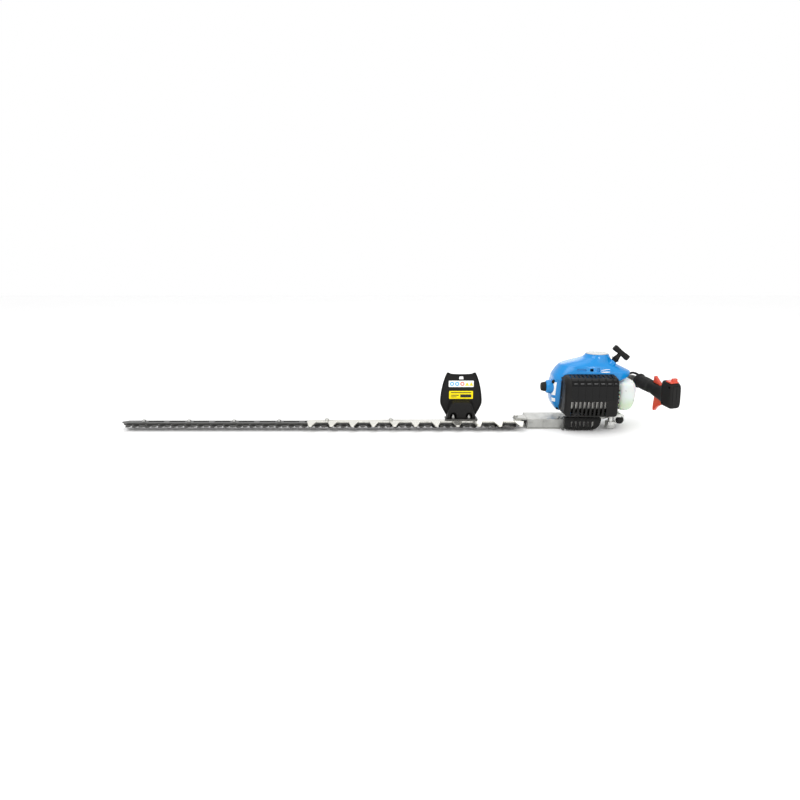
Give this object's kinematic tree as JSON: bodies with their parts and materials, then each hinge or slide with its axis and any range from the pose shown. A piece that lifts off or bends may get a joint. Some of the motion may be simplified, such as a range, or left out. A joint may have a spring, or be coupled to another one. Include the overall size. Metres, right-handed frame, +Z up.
{
  "type": "hedge trimmer",
  "caption": "Petrol hedge trimmer with a long single-sided reciprocating cutter, finger comb, hand shield, covered engine, recoil starter and a transverse throttle handle.",
  "frame": {"origin": "where the vertical crankshaft axis meets the flat underside of the gear case", "axes": "+X from the blades' tip towards the rear handle, teeth towards -Y, +Z up along the crankshaft axis"},
  "size_m": [1.4891, 0.2367, 0.2269],
  "materials": {
    "bar_steel": "dark phosphated steel",
    "blade_steel": "ground steel",
    "bright_steel": "zinc plated",
    "inner_steel": "machined",
    "comb_alloy": "polished",
    "cast_alloy": "as cast",
    "black_plastic": "fine moulded grain",
    "blue_plastic": "glossy",
    "tank_plastic": "translucent",
    "grip_rubber": "fine grain",
    "red_plastic": "satin",
    "filter_foam": "open foam",
    "clear_bulb": "translucent",
    "rope": "braided"
  },
  "bodies": {
    "machine": {"guide_bar": "bar_steel", "finger_comb": "comb_alloy", "blade_bolts": "bright_steel", "blade_nuts": "bright_steel", "hand_shield": "black_plastic", "shield_bracket": "inner_steel", "shield_bolts": "bright_steel", "front_handle_tube": "inner_steel", "front_grip": "grip_rubber", "gear_case_cover": "cast_alloy", "gear_case": "cast_alloy", "case_screws": "bright_steel", "cam_pin": "inner_steel", "clutch_housing": "cast_alloy", "bearings": "inner_steel", "crankcase_lower": "cast_alloy", "crankcase_upper": "cast_alloy", "cylinder": "cast_alloy", "spark_plug": "bright_steel", "spark_plug_boot": "black_plastic", "recoil_spring": "inner_steel", "rope_guide": "black_plastic", "starter_rope": "rope", "engine_cover": "blue_plastic", "muffler": "bright_steel", "muffler_guard": "black_plastic", "lower_guard": "black_plastic", "intake_insulator": "black_plastic", "carburettor": "cast_alloy", "air_cleaner_base": "black_plastic", "air_filter": "filter_foam", "air_cleaner_cover": "black_plastic", "fuel_tank": "tank_plastic", "rear_grip": "grip_rubber", "handle_shell_left": "black_plastic", "handle_shell_right": "black_plastic", "handle_screws": "bright_steel", "handle_pipe": "inner_steel", "rear_bracket": "bright_steel", "rubber_bushes": "grip_rubber", "throttle_cable": "black_plastic"},
    "crank": {"crankshaft": "inner_steel", "flywheel": "cast_alloy", "clutch_shoes": "inner_steel"},
    "cam_gear": {"cam_gear": "inner_steel"},
    "drum": {"clutch_drum": "inner_steel"},
    "upper_blade": {"upper_blade": "blade_steel", "upper_link": "inner_steel"},
    "lower_blade": {"lower_blade": "blade_steel", "lower_link": "inner_steel"},
    "piston": {"piston": "cast_alloy", "connecting_rod": "inner_steel"},
    "starter_pulley": {"starter_pulley": "black_plastic"},
    "starter_handle": {"starter_handle": "black_plastic"},
    "throttle_trigger": {"throttle_trigger": "red_plastic"},
    "lock_lever": {"lock_lever": "red_plastic"},
    "stop_switch": {"stop_switch": "red_plastic"},
    "choke_lever": {"choke_lever": "black_plastic"},
    "primer_bulb": {"primer_bulb": "clear_bulb"},
    "fuel_cap": {"fuel_cap": "black_plastic"}
  },
  "joints": [
    {"name": "crank_spin", "type": "hinge", "parent": "machine", "child": "crank", "pos_m": [0, 0, 0.11], "axis": [0, 0, 1], "continuous": true},
    {"name": "cam_gear_spin", "type": "hinge", "parent": "machine", "child": "cam_gear", "pos_m": [-0.035, 0, 0.02], "axis": [0, 0, 1], "continuous": true},
    {"name": "drum_spin", "type": "hinge", "parent": "machine", "child": "drum", "pos_m": [0, 0, 0.04], "axis": [0, 0, 1], "continuous": true},
    {"name": "upper_blade_stroke", "type": "slide", "parent": "machine", "child": "upper_blade", "axis": [1, 0, 0], "range_m": [-0.00875, 0.00875]},
    {"name": "lower_blade_stroke", "type": "slide", "parent": "machine", "child": "lower_blade", "axis": [1, 0, 0], "range_m": [-0.00875, 0.00875]},
    {"name": "piston_stroke", "type": "slide", "parent": "machine", "child": "piston", "axis": [1, 0, 0], "range_m": [0, 0.028]},
    {"name": "starter_pull", "type": "slide", "parent": "machine", "child": "starter_handle", "axis": [0.6293, 0, 0.7771], "range_m": [0, 0.65], "stiffness_N_per_m": 12, "springref_m": -0.8},
    {"name": "starter_pulley_spin", "type": "hinge", "parent": "machine", "child": "starter_pulley", "pos_m": [0, 0, 0.182], "axis": [0, 0, 1], "continuous": true},
    {"name": "throttle_squeeze", "type": "hinge", "parent": "machine", "child": "throttle_trigger", "pos_m": [0.1661, -0.05926, 0.0935], "axis": [0.9212, 0.3891, 0], "range_deg": [0, 14], "stiffness_Nm_per_rad": 0.2, "springref_deg": -28.65},
    {"name": "lock_lever_press", "type": "hinge", "parent": "machine", "child": "lock_lever", "pos_m": [0.1618, -0.04907, 0.11955], "axis": [-0.9212, -0.3891, 0], "range_deg": [0, 10], "stiffness_Nm_per_rad": 0.2, "springref_deg": -28.65},
    {"name": "stop_switch_slide", "type": "slide", "parent": "machine", "child": "stop_switch", "axis": [-0.3843, 0.9098, 0.1564], "range_m": [0, 0.005]},
    {"name": "choke_turn", "type": "hinge", "parent": "machine", "child": "choke_lever", "pos_m": [-0.074, 0.0635, 0.077], "axis": [0, 1, 0], "range_deg": [0, 60]},
    {"name": "primer_press", "type": "slide", "parent": "machine", "child": "primer_bulb", "axis": [0, 0, 1], "range_m": [0, 0.003], "stiffness_N_per_m": 300, "springref_m": -0.003},
    {"name": "fuel_cap_turn", "type": "hinge", "parent": "machine", "child": "fuel_cap", "pos_m": [0.07, 0.068, 0.104], "axis": [0, 1, 0], "range_deg": [0, 360]}
  ],
  "couplings": [
    {"joint": "drum_spin", "follows": "cam_gear_spin", "ratio": -4.0909},
    {"joint": "lower_blade_stroke", "follows": "upper_blade_stroke", "ratio": -1},
    {"joint": "starter_pulley_spin", "follows": "starter_pull", "rad_per_m": 52.632}
  ]
}
